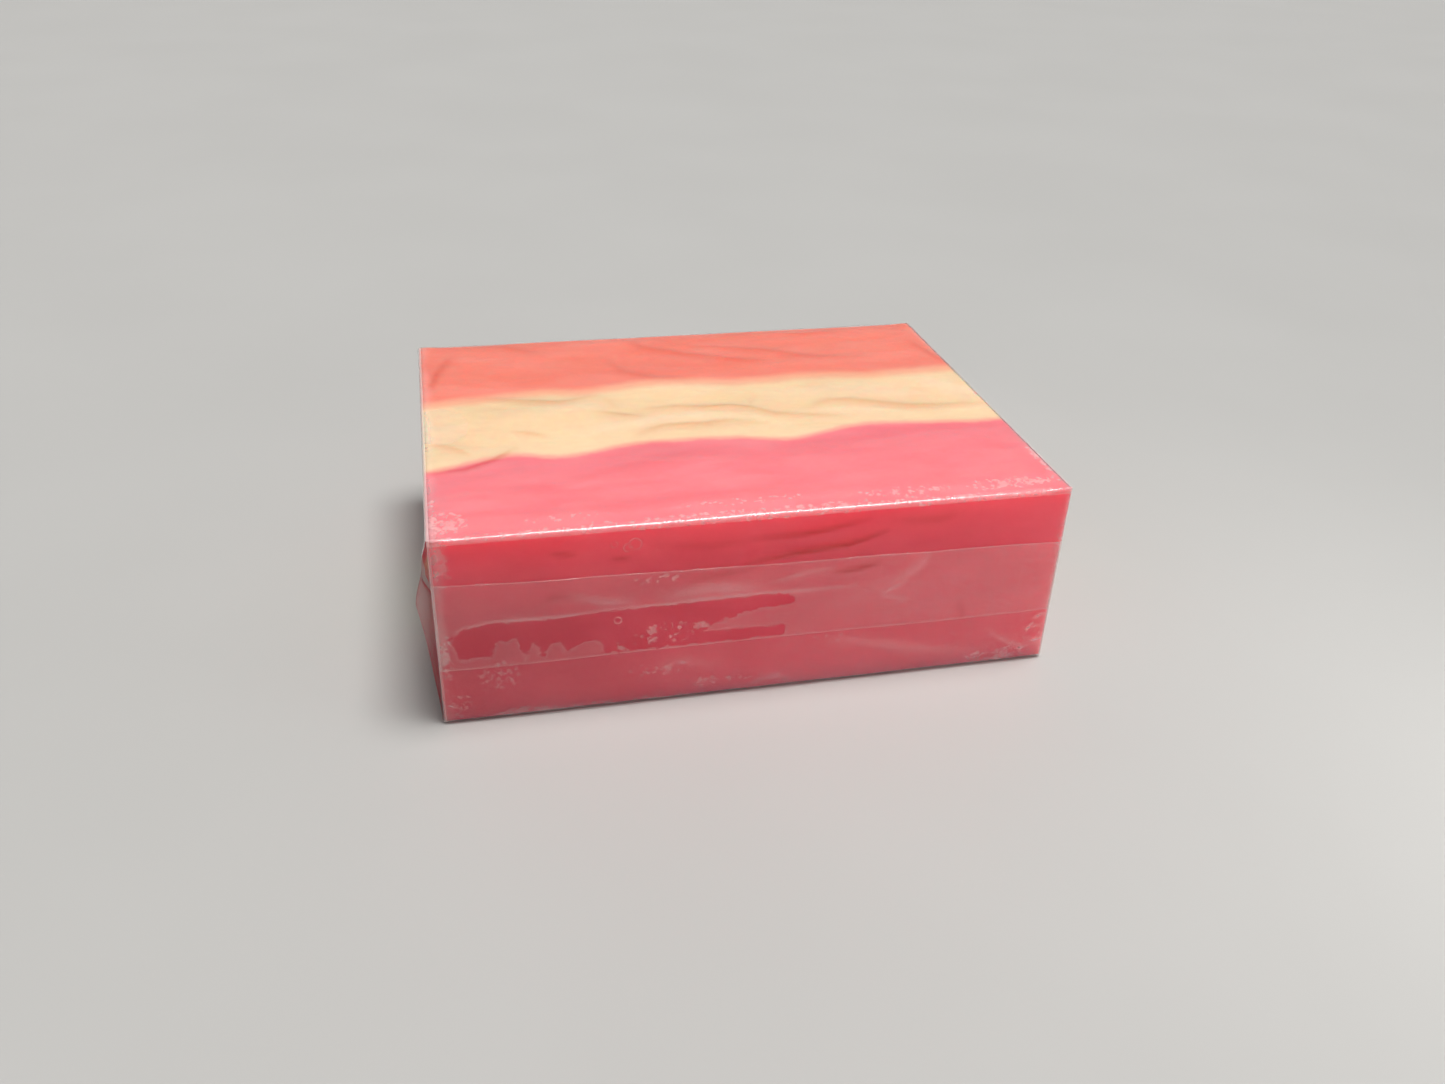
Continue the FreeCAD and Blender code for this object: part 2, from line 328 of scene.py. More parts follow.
def blobs(across, up, places):
    """Soft ovals, each with a middle, half sizes and a strength."""
    field = np.zeros(across.shape)
    for x, y, half_x, half_y, strength in places:
        gap = np.hypot((across - x) / half_x, (up - y) / half_y)
        field = np.maximum(field, strength * smooth(gap, 1.25, 0.35))
    return field


def near_end(x):
    """1 in the last millimetre at both ends of the bar, 0 more than 4 mm away from them."""
    return smooth(np.abs(x), SOAP_END - 4.0, SOAP_END - 1.0)


def spaced(low, high, step, fine=()):
    """Even steps from low to high, with extra stations at the distances in fine from both ends."""
    count = max(2, int(round((high - low) / step)) + 1)
    stations = set(np.linspace(low, high, count).round(4))
    for distance in fine:
        stations |= {round(low + distance, 4), round(high - distance, 4)}
    return np.array(sorted(stations))


# ---------------- mesh making


def make_mesh(name, points, faces, fields=None, merge=0.0, sharp=None):
    """A piece from points in millimetres. fields are named values, one for each point."""
    mesh = bpy.data.meshes.new(name)
    mesh.from_pydata((np.asarray(points) * MM).tolist(), [], faces)
    for key, values in (fields or {}).items():
        attribute = mesh.attributes.new(key, "FLOAT", "POINT")
        attribute.data.foreach_set("value", np.asarray(values, np.float32))
    if merge:
        shape = bmesh.new()
        shape.from_mesh(mesh)
        bmesh.ops.remove_doubles(shape, verts=shape.verts, dist=merge * MM)
        bmesh.ops.dissolve_degenerate(shape, edges=shape.edges, dist=merge * MM)
        shape.to_mesh(mesh)
        shape.free()
    mesh.polygons.foreach_set("use_smooth", [True] * len(mesh.polygons))
    if sharp is not None:
        mesh.set_sharp_from_angle(angle=math.radians(sharp))
    mesh.update()
    piece = bpy.data.objects.new(name, mesh)
    bpy.context.scene.collection.objects.link(piece)
    return piece


def grid_faces(rows, columns, first=0, flip=False):
    """Quads between the points of a grid that is stored row by row."""
    faces = []
    for r in range(rows - 1):
        for c in range(columns - 1):
            a = first + r * columns + c
            quad = (a, a + 1, a + columns + 1, a + columns)
            faces.append(quad[::-1] if flip else quad)
    return faces


# What each point of the film holds, and its value where nothing is said: haze, painted shade of
# dark creases, the second sheet of the lap, the depth inside a stuck patch or bubble, and dew
FILM_FIELDS = {"haze": 0.0, "dark": 0.0, "lap": 0.0, "stuck": FAR_OUTSIDE, "dew": 0.0}


def film_piece(name, grids, material, flip=False, merge=0.0):
    """A film shell from grids, each a dict of points (rows, columns, 3) and fields."""
    points, faces, fields = [], [], {key: [] for key in FILM_FIELDS}
    first = 0
    for grid in grids:
        rows, columns = grid["points"].shape[:2]
        turned = flip != grid.get("turned", False)
        faces += grid_faces(rows, columns, first, turned)
        points.append(grid["points"].reshape(-1, 3))
        for key, usual in FILM_FIELDS.items():
            values = np.broadcast_to(grid.get(key, usual), (rows, columns))
            fields[key].append(values.reshape(-1))
        first += rows * columns
    fields = {key: np.concatenate(values) for key, values in fields.items()}
    piece = make_mesh(name, np.concatenate(points), faces, fields, merge)
    shell = piece.modifiers.new("film_thickness", "SOLIDIFY")
    shell.thickness = FILM_THICKNESS * MM
    shell.offset = 1.0
    piece.data.materials.append(material)
    return piece


# ---------------- soap


def wave_height(wave, x):
    """The y of a joint at each x, through its points without corners."""
    xs, ys = np.array(wave, float).T
    slopes = np.gradient(ys, xs)
    i = np.clip(np.searchsorted(xs, x) - 1, 0, len(xs) - 2)
    span = xs[i + 1] - xs[i]
    t = (x - xs[i]) / span
    start = (1 + 2 * t) * (1 - t) ** 2 * ys[i] + t * (1 - t) ** 2 * span * slopes[i]
    end = t**2 * (3 - 2 * t) * ys[i + 1] + t**2 * (t - 1) * span * slopes[i + 1]
    return start + end


def joint_surface(wave, x, z):
    """The y of a joint anywhere in the block."""
    middle = np.mean([point[1] for point in wave])
    lower = middle + LOWER_WAVE_SHARE * (wave_height(wave, -x) - middle)
    share = (z - LOW[2]) / (HIGH[2] - LOW[2])
    # Each joint takes its swirl from its own slice of the noise
    slice_y = wave[0][1]
    swirl = ripple(np.stack([x, 0 * x + slice_y, z], -1), size=4.2, shift=0.7, stretch=(1, 1, 1.6))
    return lower + share * (wave_height(wave, x) - lower) + JOINT_SWIRL * swirl


def round_off(points):
    """Points near two or three outer faces of the block are drawn in onto a rounded edge. The two
    long edges of the upper face are rounder than the rest."""
    wobble = SOAP_EDGE_WOBBLE * ripple(points, size=9.0, shift=3.1)
    near_top = smooth(points[..., 2], HIGH[2] - 4.0, HIGH[2] - 1.0)
    rounder = near_top * (1 - near_end(points[..., 0]))
    radius = SOAP_SIDE_RADIUS + rounder * (SOAP_TOP_RADIUS - SOAP_SIDE_RADIUS)
    radius = (radius * (1 + wobble))[..., None]
    centre = np.clip(points, LOW + radius, HIGH - radius)
    out = points - centre
    length = np.linalg.norm(out, axis=-1, keepdims=True)
    near_faces = (np.abs(out) > 1e-6).sum(-1, keepdims=True)
    rounded = centre + out / np.maximum(length, 1e-9) * radius
    return np.where((near_faces > 1) & (length > radius), rounded, points)


def hollow_face(points):
    """Cut faces that sink a little between their edges."""
    sunk = SOAP_FACE_SUNK * (0.6 + 0.4 * ripple(points, size=14.0, shift=7.7))
    for axis in range(3):
        other = [a for a in range(3) if a != axis]
        inside = np.ones(points.shape[:-1])
        for a in other:
            reach = np.minimum(points[..., a] - LOW[a], HIGH[a] - points[..., a])
            inside *= smooth(reach, 0.5, 8.0)
        at_low = np.abs(points[..., axis] - LOW[axis]) < 1e-6
        at_high = np.abs(points[..., axis] - HIGH[axis]) < 1e-6
        points[..., axis] += sunk * inside * at_low - sunk * inside * at_high
    return points


def lattice_shell(counts):
    """Index triples on the surface of a lattice, and the quads that join them."""
    places, order, faces = {}, [], []

    def place(key):
        if key not in places:
            places[key] = len(order)
            order.append(key)
        return places[key]

    for axis in range(3):
        a, b = [(1, 2), (2, 0), (0, 1)][axis]
        for end in (0, counts[axis]):
            for i in range(counts[a]):
                for j in range(counts[b]):
                    quad = []
                    for di, dj in ((0, 0), (1, 0), (1, 1), (0, 1)):
                        key = [0, 0, 0]
                        key[axis], key[a], key[b] = end, i + di, j + dj
                        quad.append(place(tuple(key)))
                    faces.append(quad if end else quad[::-1])
    return np.array(order), faces


def soap_layer(name, front_wave, back_wave, material):
    """One poured layer: a rounded block between two joints or an outer face."""
    edge = [0.15, 0.3, 0.5, 0.75, 1.0, 1.4]
    xs = spaced(LOW[0], HIGH[0], 0.9, edge)
    zs = spaced(LOW[2], HIGH[2], 0.8, edge)
    shares = np.linspace(0, 1, 26)
    if not (front_wave and back_wave):
        edge_shares = [0.007, 0.015, 0.025, 0.04, 0.055, 0.07]
        extra = edge_shares if not front_wave else [1 - s for s in edge_shares]
        shares = np.array(sorted(set(shares) | set(extra)))
    order, faces = lattice_shell((len(xs) - 1, len(shares) - 1, len(zs) - 1))
    x, share, z = xs[order[:, 0]], shares[order[:, 1]], zs[order[:, 2]]
    near = joint_surface(front_wave, x, z) if front_wave else np.full(x.shape, LOW[1])
    far = joint_surface(back_wave, x, z) if back_wave else np.full(x.shape, HIGH[1])
    y = near + share * (far - near)
    points = round_off(hollow_face(np.stack([x, y, z], -1)))
    from_front = points[:, 1] - near if front_wave else np.full(x.shape, NO_JOINT)
    from_back = far - points[:, 1] if back_wave else np.full(x.shape, NO_JOINT)
    fields = {"from_front": from_front, "from_back": from_back}
    piece = make_mesh(name, points, faces, fields, sharp=40)
    piece.data.materials.append(material)
    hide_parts(name + "_layer")
    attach(piece, "bar")


# ---------------- film sleeve


def film_lift(points):
    """How far the film stands off a face: loose in the middle, tight at the edges."""
    broad = 0.5 + 0.5 * ripple(points, size=11.0, shift=2.3, stretch=(1.8, 0.8, 0.8))
    fine = 0.5 + 0.5 * ripple(points, size=3.4, shift=5.9, stretch=(2.2, 0.8, 0.8))
    return BROAD_WAVES * broad + FINE_WAVES * fine


def hold_down(value, low, high, reach=3.0):
    """0 at both ends of a face and 1 away from them."""
    return smooth(value - low, 0.0, reach) * smooth(high - value, 0.0, reach)


def straight(x, y0, z0, y1, z1, shares):
    """Rows of points across the bar's length from one line to another; y0 to z1 may vary with x."""
    shares = shares[:, None]
    y = y0 + shares * (y1 - y0) + 0 * x
    z = z0 + shares * (z1 - z0) + 0 * x
    return np.stack([0 * shares + x, y, z], -1)


def bend(x, y, z, radius, start, steps):
    """A quarter turn about (y, z), clockwise seen from +X, from an angle in degrees. The radius and
    the middle may vary with x."""
    angles = np.radians(start - 90 * np.linspace(0, 1, steps + 1)[1:-1])[:, None]
    out = np.stack([0 * angles + 0 * x, np.cos(angles) + 0 * x, np.sin(angles) + 0 * x], -1)
    base = np.stack([0 * angles + x, y + 0 * angles + 0 * x, z + 0 * angles + 0 * x], -1)
    return base + np.broadcast_to(radius, x.shape)[:, None] * out, out


def lap_edge(x):
    """Height of the outer sheet's free edge: it climbs to the left, with a slight wave."""
    points = np.stack([x, 0 * x, 0 * x], -1)
    wave = LAP_EDGE_WAVE * ripple(points, size=13.0, shift=1.7)
    return LAP_OUTER_EDGE - 0.2 - LAP_EDGE_CLIMB * x + wave


def inner_edge(x):
    """Height of the inner sheet's edge, hidden under the lap."""
    points = np.stack([x, 0 * x, 0 * x], -1)
    return LAP_INNER_EDGE + INNER_EDGE_WAVE * ripple(points, size=17.0, shift=4.4)


def sleeve_parts(x):
    """The sheet's path round the bar as named parts, each with its points and fields."""
    up = np.array([0, 0, 1.0])
    forward = np.array([0, -1.0, 0])
    held = hold_down(x, -SOAP_END, SOAP_END, 4.0)
    top_r = FILM_TOP_RADIUS + (FILM_TOP_RADIUS_AT_END - FILM_TOP_RADIUS) * near_end(x)
    low_r = FILM_BOTTOM_RADIUS
    parts = []

    def face(name, base, normal, creases, keep, stuck=(), dew=(), lap=0.0, edge_haze=0.0, more=()):
        """A flat part. It stands off along normal, held down where keep is 0 and where it is stuck;
        the creases in more belong to the other sheet and only lift this one."""
        across, high = base[..., 0], base[..., 1 if normal is up else 2]
        height, dark, pale = crease_field(across, high, creases)
        height += crease_field(across, high, more)[0]
        depth = depth_inside(across, high, stuck)
        loose = 1 - smooth(depth, -0.6, 0.3)
        lift = film_lift(base * (normal == 0)) * loose + height * (0.3 + 0.7 * loose)
        lift = lift * keep * (0.15 + 0.85 * held)
        fields = {"dark": dark * keep, "haze": pale * keep + edge_haze, "lap": lap}
        fields |= {"stuck": depth, "dew": blobs(across, high, dew)}
        parts.append((name, {"points": base + lift[..., None] * normal} | fields))

    def corner(name, y, z, radius, start, lift=0.0, haze=0.2, dew=0.6):
        """A long edge, with waves of height lift."""
        base, out = bend(x, y, z, radius, start, 8)
        lift = lift * np.clip(1 + 1.3 * ripple(base, size=2.6, shift=9.2, stretch=(2.5, 1, 1)), 0, 2.5)
        parts.append((name, {"points": base + lift[..., None] * out, "haze": haze, "dew": dew}))

    # Both sheets of the front are still loose at its lower edge
    loose_low = BASE - 1.5
    low_edge, high_edge = inner_edge(x), lap_edge(x)
    rows = spaced(0, 1, 0.026, [0.004, 0.012])
    base = straight(x, FRONT, low_edge, FRONT, ROOF - top_r, rows)
    keep = hold_down(base[..., 2], loose_low, ROOF - top_r, 2.0)
    edge = 0.5 * np.exp(-(((base[..., 2] - low_edge) / 0.2) ** 2))
    face("front_in", base, forward, FRONT_CREASES, keep, FRONT_STUCK, FRONT_DEW,
         edge_haze=edge, more=LAP_CREASES)
    corner("top_front", FRONT + top_r, ROOF - top_r, top_r, 180, TOP_FRONT_WAVES)

    base = straight(x, FRONT + top_r, ROOF, BACK - top_r, ROOF, spaced(0, 1, 0.0088))
    keep = hold_down(base[..., 1], FRONT + top_r, BACK - top_r, 2.5)
    face("top", base, up, TOP_CREASES, keep, TOP_BUBBLE, TOP_DEW)
    corner("top_back", BACK - top_r, ROOF - top_r, top_r, 90, TOP_BACK_WAVES, haze=0.0, dew=0.0)

    base = straight(x, BACK, ROOF - top_r, BACK, BASE + low_r, spaced(0, 1, 0.03))
    keep = hold_down(base[..., 2], BASE + low_r, ROOF - top_r, 2.5)
    face("back", base, -forward, BACK_CREASES, keep)
    corner("bottom_back", BACK - low_r, BASE + low_r, low_r, 0)

    base = straight(x, BACK - low_r, BASE, LAP_FRONT + low_r, BASE, spaced(0, 1, 0.03))
    parts.append(("bottom", {"points": base}))
    corner("bottom_front", LAP_FRONT + low_r, BASE + low_r, low_r, -90)

    rows = spaced(0, 1, 0.025, [0.004, 0.012])
    base = straight(x, LAP_FRONT, BASE + low_r, LAP_FRONT, high_edge, rows)
    keep = hold_down(base[..., 2], loose_low, ROOF - top_r, 2.0)
    edge = 0.5 * np.exp(-(((high_edge - base[..., 2]) / 0.18) ** 2))
    face("front_out", base, forward, LAP_CREASES, keep, FRONT_STUCK, FRONT_DEW,
         lap=1.0, edge_haze=edge, more=FRONT_CREASES)
    return parts


def joined(parts):
    """One grid from parts that follow each other round the bar."""
    grid = {"points": np.concatenate([part["points"] for _, part in parts])}
    for key, usual in FILM_FIELDS.items():
        values = [np.broadcast_to(part.get(key, usual), part["points"].shape[:2]) for _, part in parts]
        grid[key] = np.concatenate(values)
    return grid


def film_sleeve(material):
    x = spaced(-PANEL_ROOT, PANEL_ROOT, 0.5)
    piece = film_piece("film_sleeve_sheet", [joined(sleeve_parts(x))], material)
    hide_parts("film_sleeve")
    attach(piece, "bar")


# ---------------- end folds


def root_line(sign, first, last):
    """The sleeve's end row from the middle of one corner to that of another. Without a first or a
    last corner it runs from or to the sheet's own edge."""
    parts = sleeve_parts(np.array([sign * PANEL_ROOT]))
    names = [name for name, _ in parts]
    start = names.index(first) if first else -1
    end = names.index(last) if last else len(parts)
    rows = []
    for i, (_, part) in enumerate(parts):
        points = part["points"][:, 0]
        half = len(points) // 2
        if i == start:
            rows.append(points[half:])
        elif i == end:
            rows.append(points[: half + 1])
        elif start < i < end:
            rows.append(points)
    return np.concatenate(rows)


def puff(sign, y, z):
    """How far the whole stack of layers on an end stands off it."""
    where = np.stack([sign * SOAP_END + 0 * y, y, z], -1)
    inside = smooth(y - FRONT, 0, 4) * smooth(BACK - y, 0, 4)
    inside = inside * smooth(z - BASE, 0, 4) * smooth(ROOF - z, 0, 4)
    height, _, _ = crease_field(y, z, END_CREASES)
    return inside * (0.03 + 0.03 * ripple(where, size=7.0, shift=6.1) + 0.65 * height)


def round_crease(root, corner, landing, steps=7):
    """Rows that lead from the sleeve's end, round a crease, onto the end face."""
    rows = []
    for t in np.linspace(0, 1, steps + 1):
        rows.append((1 - t) ** 2 * root + 2 * t * (1 - t) * corner + t**2 * landing)
    return rows


def on_end(sign, plane, y, z, extra=0.0):
    """Points on an end face, on the layer that lies at plane."""
    out = plane + puff(sign, y, z) + extra
    return np.stack([sign * out, y, z], -1)


def end_shade(y, z):
    """Haze and painted shade of the creases over an end."""
    _, dark, pale = crease_field(y, z, END_CREASES)
    return {"haze": 0.6 * pale, "dark": dark}


def flare(end, up, u, from_front):
    """How far a flap springs off its end, at a depth u and a distance from its front mitre."""
    tip = smooth(u, 0.55 * FOLD_LENGTH, FOLD_LENGTH)
    if end == "right":
        return 0.12 * tip
    curl, reach, full_at = BOTTOM_CURL if up > 0 else TOP_CURL
    rise = min(u / full_at, 1.0) ** 1.4 * (1 - 0.6 * smooth(u, 0.72 * FOLD_LENGTH, FOLD_LENGTH))
    return curl * rise * (1 - smooth(from_front, 0, reach)) + 0.2 * tip


def flap(end, sign, up, material):
    """A top (up -1) or bottom (up 1) flap with its two gussets folded in under it."""
    name = "bottom" if up > 0 else "top"
    corners = ("bottom_back", "bottom_front") if up > 0 else ("top_front", "top_back")
    root = root_line(sign, *corners)
    crease_z = BASE if up > 0 else ROOF
    plane = end_plane(name + "_flap")
    front = LAP_FRONT if up > 0 else FRONT
    share = np.clip((root[:, 1] - front) / (BACK - front), 0, 1)

    def row(u):
        y = front + u + share * (BACK - front - 2 * u)
        return on_end(sign, plane, y, crease_z + up * u + 0 * y, flare(end, up, u, y - front - u))

    depths = spaced(CREASE_REACH, FOLD_LENGTH, 0.6, [0.05, 0.2])
    rows = round_crease(root, row(0.0), row(depths[0]))
    turns = len(rows)
    rows = np.array(rows + [row(u) for u in depths[1:]])
    u_all = np.array([0.0] * turns + list(depths[1:]))[:, None]
    w_all = np.minimum(share, 1 - share)[None, :] * (BACK - front - 2 * u_all)
    sheet = {"points": rows} | end_shade(rows[..., 1], rows[..., 2])
    sheet["haze"] += 0.5 * np.exp(-((w_all / 0.25) ** 2)) * (u_all > 0)
    sheet["haze"] += 0.5 * np.exp(-(((FOLD_LENGTH - u_all) / 0.2) ** 2))
    sheet["haze"] += CREASE_HAZE * (u_all == 0)
    grids = [sheet]
    for side in (-1, 1):
        mitre = int(np.argmin(share) if side < 0 else np.argmax(share))
        grids.append(gusset(end, sign, up, side, depths, [row(u)[mitre] for u in depths]))
    piece = film_piece(f"{end}_{name}_flap_sheet", grids, material, sign < 0, merge=WELD)
    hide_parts(f"{end}_{name}_flap", f"{end}_{name}_gussets")
    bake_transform(piece)


def gusset(end, sign, up, side, depths, mitres):
    """The corner of the sheet, folded back under a flap along the flap's mitred side."""
    steps = np.array([0.0, 0.02, 0.08, 0.25, 0.5, 0.75, 1.0])
    name = "bottom" if up > 0 else "top"
    under = (end_plane(name + "_gussets") - end_plane(name + "_flap")) * smooth(steps, 0.0, 0.08)
    rows = []
    for u, mitre in zip(depths, mitres):
        y = mitre[1] - side * (FOLD_LENGTH - u) * steps
        from_front = np.abs(y - mitre[1]) if side < 0 else np.full(y.shape, BOX_HIGH[1] - BOX_LOW[1])
        z = np.full(y.shape, mitre[2])
        points = on_end(sign, end_plane(name + "_flap"), y, z, flare(end, up, u, from_front) + under)
        points[0] = mitre
        rows.append(points)
    rows = np.array(rows)
    return {"points": rows, "haze": 0.15 + 0 * rows[..., 0], "turned": side < 0}


def tuck(end, sign, side, material, lap=False):
    """A side tuck: a triangle of film folded straight in over the end, under the two flaps' mitres."""
    name = ("front_tuck_lap" if lap else "front_tuck") if side < 0 else "back_tuck"
    if side > 0:
        root = root_line(sign, "top_back", "bottom_back")
    elif lap:
        root = root_line(sign, "bottom_front", None)
    else:
        root = root_line(sign, None, "top_front")
    plane = end_plane("tuck_lap" if lap else "tuck")
    crease_y = (LAP_FRONT if lap else FRONT) if side < 0 else BACK
    z = root[:, 2]
    width = np.clip(np.minimum(z - BASE, ROOF - z) + TUCK_UNDER_MITRE, 0.02, None)

    def row(w):
        return on_end(sign, plane, crease_y - side * np.minimum(w, width), z)

    rows = round_crease(root, row(0.0), row(CREASE_REACH))
    turns = len(rows)
    shares = np.linspace(0, 1, 20)[1:]
    rows += [row(CREASE_REACH + t * np.maximum(width - CREASE_REACH, 0)) for t in shares]
    rows = np.array(rows)
    grid = {"points": rows, "lap": 1.0 * lap} | end_shade(rows[..., 1], rows[..., 2])
    depth = np.array([0.0] * turns + list(shares))[:, None]
    grid["haze"] += 0.3 * np.exp(-(((1 - depth) / 0.04) ** 2))
    grid["haze"] += CREASE_HAZE * (depth == 0)
    piece = film_piece(f"{end}_{name}_sheet", [grid], material, sign < 0, merge=WELD)
    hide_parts(f"{end}_{name}")
    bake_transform(piece)


# ---------------- materials


class Graph:
    """A material's node tree, with short ways to add nodes."""

    def __init__(self, name):
        self.material = bpy.data.materials.new(name)
        self.material.use_nodes = True
        self.tree = self.material.node_tree
        self.tree.nodes.clear()
        self.output = self.tree.nodes.new("ShaderNodeOutputMaterial")

    def node(self, kind, inputs=None, **settings):
        made = self.tree.nodes.new("ShaderNode" + kind)
        for key, value in settings.items():
            setattr(made, key, value)
        for key, value in (inputs or {}).items():
            if isinstance(value, bpy.types.NodeSocket):
                self.tree.links.new(value, made.inputs[key])
            else:
                made.inputs[key].default_value = value
        return made

    def math(self, operation, a, b=0.0, c=0.0, clamp=False):
        made = self.node("Math", {0: a, 1: b, 2: c}, operation=operation, use_clamp=clamp)
        return made.outputs[0]

    def times(self, a, b, clamp=False):
        return self.math("MULTIPLY", a, b, clamp=clamp)

    def times_plus(self, a, b, c, clamp=False):
        """a * b + c"""
        return self.math("MULTIPLY_ADD", a, b, c, clamp)

    def ramp(self, value, low, high, start=0.0, end=1.0):
        """start where value is below low, end above high, and an even S between them."""
        keys = {"Value": value, "From Min": low, "From Max": high, "To Min": start, "To Max": end}
        made = self.node("MapRange", keys, interpolation_type="SMOOTHSTEP")
        return made.outputs["Result"]

    def place(self, stretch=(1, 1, 1)):
        """The point's place in the frame, in millimetres divided by stretch."""
        if not hasattr(self, "coordinates"):
            self.coordinates = self.node("TexCoord").outputs["Object"]
        scale = tuple(1 / MM / s for s in stretch)
        return self.node("VectorMath", {0: self.coordinates, 1: scale}, operation="MULTIPLY").outputs[0]

    def axis(self, which):
        if not hasattr(self, "axes"):
            self.axes = self.node("SeparateXYZ", {0: self.place()}).outputs
        return self.axes[which]

    def noise(self, size, detail=2.0, stretch=(1, 1, 1), roughness=0.5, distortion=0.0):
        keys = {"Vector": self.place(stretch), "Scale": 1 / size, "Detail": detail}
        keys |= {"Roughness": roughness, "Distortion": distortion}
        return self.node("TexNoise", keys).outputs["Fac"]

    def ring(self, x, z, radius):
        """1 on a thin ring on the front face."""
        keys = {0: self.place(), 1: (x, 0, z)}
        away = self.node("VectorMath", keys, operation="SUBTRACT").outputs[0]
        flat = self.node("VectorMath", {0: away, 1: (1, 0, 1)}, operation="MULTIPLY").outputs[0]
        length = self.node("VectorMath", {0: flat}, operation="LENGTH").outputs["Value"]
        off_line = self.math("ABSOLUTE", self.math("SUBTRACT", length, radius))
        return self.ramp(off_line, 0.05, 0.16, 1.0, 0.0)

    def attribute(self, name):
        return self.node("Attribute", attribute_name=name).outputs["Fac"]

    def mix_colour(self, factor, a, b, blend="MIX"):
        keys = {0: factor, 6: a, 7: b}
        return self.node("Mix", keys, data_type="RGBA", blend_type=blend).outputs[2]

    def mix_shader(self, factor, a, b):
        return self.node("MixShader", {0: factor, 1: a, 2: b}).outputs[0]

    def finish(self, shader):
        self.tree.links.new(shader, self.output.inputs["Surface"])
        return self.material


PINK = (0.95, 0.030, 0.085, 1)
# Dark red mixed into the pink as painted shade at the lower left of its front
PAINTED_SHADE_PINK = (0.06, 0.0, 0.0, 1)
CREAM = (0.93, 0.64, 0.32, 1)
CORAL = (0.96, 0.135, 0.045, 1)
# How far, in millimetres, colour bleeds over the joint with pink and over the one with coral
PINK_BLEED, CORAL_BLEED = 1.1, 2.4
# How deep light goes into each soap, in millimetres, and the share of that for red, green and blue
PINK_GLOW, CREAM_GLOW, CORAL_GLOW = 8.0, 2.5, 2.0
GLOW_COLOUR = (1.0, 0.30, 0.25)
WHITE = (1, 1, 1, 1)
MILK = (0.97, 0.87, 0.83, 1)
# Colour of the painted shade that the film lays over what shows through its dark crease lines
PAINTED_CREASE_SHADE = (0.75, 0.51, 0.42, 1)
TOP_HAZE_FRONT, TOP_HAZE_BACK = 0.19, 0.10
# Haze of the doubled film on the front; its rise from left to right is painted reflection
LAP_HAZE_AND_REFLECTION_LEFT, LAP_HAZE_AND_REFLECTION_RIGHT = 0.008, 0.056
EDGE_HAZE = 0.16
DEW_HAZE = 0.16
PALE_HAZE = 0.28
RIM_HAZE = 0.035
DROP_SPACING = 1.1
# The edge of a place where the film clings is torn over this many millimetres. Inside it the film
# loses this share of its haze, and of its wrinkles and its shine.
TORN = 2.6
CLING_CLEARS, CLING_CALMS = 0.95, 0.7
FILM_IOR = 1.5
SHINE = (0.9, 0.9, 0.9, 1)


def painted_shade_share(g):
    """How much painted shade darkens the pink: most at the lower left of the front, nothing on the top.
    """
    leftwards = g.ramp(g.axis(0), -42.0, 8.0, 0.26, 0.0)
    downwards = g.ramp(g.axis(2), 10.0, 25.0, 1.0, 0.0)
    forwards = g.ramp(g.axis(1), -28.0, -10.0, 1.0, 0.0)
    return g.times(g.times(leftwards, downwards), forwards)


def soap_material(name, own, front, back, glow_depth):
    """Waxy soap that takes on its neighbours' colour where two pours met. Painted shade darkens the
    pink towards its lower left front corner."""
    g = Graph(name)
    cloud = g.noise(size=9.0, detail=3.0, stretch=(1.6, 0.8, 0.8))
    fine = g.noise(size=1.2, detail=3.0)
    paler = tuple(0.97 * c + 0.03 for c in own[:3]) + (1,)
    deeper = tuple(0.92 * c for c in own[:3]) + (1,)
    colour = g.mix_colour(g.ramp(cloud, 0.3, 0.7), deeper, paler)
    colour = g.mix_colour(g.ramp(fine, 0.45, 0.75, 0, 0.12), colour, WHITE, "SOFT_LIGHT")
    for field, neighbour in (("from_front", front), ("from_back", back)):
        if neighbour:
            reach = PINK_BLEED if PINK in (own, neighbour) else CORAL_BLEED
            ragged = g.times_plus(g.noise(size=1.8, detail=3.0), 0.8, -0.4)
            ragged = g.math("ADD", ragged, g.attribute(field))
            share = g.ramp(ragged, -0.2, reach, 0.5, 0.0)
            colour = g.mix_colour(share, colour, neighbour)
    # Painted shade: the pink darkens towards the lower left of its front, where less light falls
    if own == PINK:
        colour = g.mix_colour(painted_shade_share(g), colour, PAINTED_SHADE_PINK)
    grain = g.times_plus(g.noise(size=0.35), 0.25, g.noise(size=2.5, detail=3.0))
    bump = g.node("Bump", {"Height": grain, "Strength": 0.25, "Distance": 0.12 * MM})
    inputs = {"Base Color": colour, "Roughness": g.ramp(fine, 0.2, 0.8, 0.34, 0.52)}
    inputs |= {"Normal": bump.outputs[0], "Specular IOR Level": 0.45}
    near_joint = g.math("MINIMUM", g.attribute("from_front"), g.attribute("from_back"))
    inputs["Subsurface Weight"] = g.ramp(near_joint, 0.3, 5.0)
    inputs |= {"Subsurface Radius": GLOW_COLOUR, "Subsurface Scale": glow_depth * MM}
    return g.finish(g.node("BsdfPrincipled", inputs).outputs[0])


def edge_haze(g, blotches):
    """Haze along the ends and the back edge, where the film doesn't lie flat."""
    uneven = g.times_plus(blotches, 3.0, -1.2)
    to_end = g.math("SUBTRACT", SOAP_END, g.math("ABSOLUTE", g.axis(0)))
    to_back = g.times_plus(g.math("SUBTRACT", BACK, g.axis(1)), 2.0, 1.0)
    edge_gap = g.math("ADD", g.math("MINIMUM", to_end, to_back), uneven)
    return g.ramp(edge_gap, 0.0, 2.0, EDGE_HAZE, 0.0)


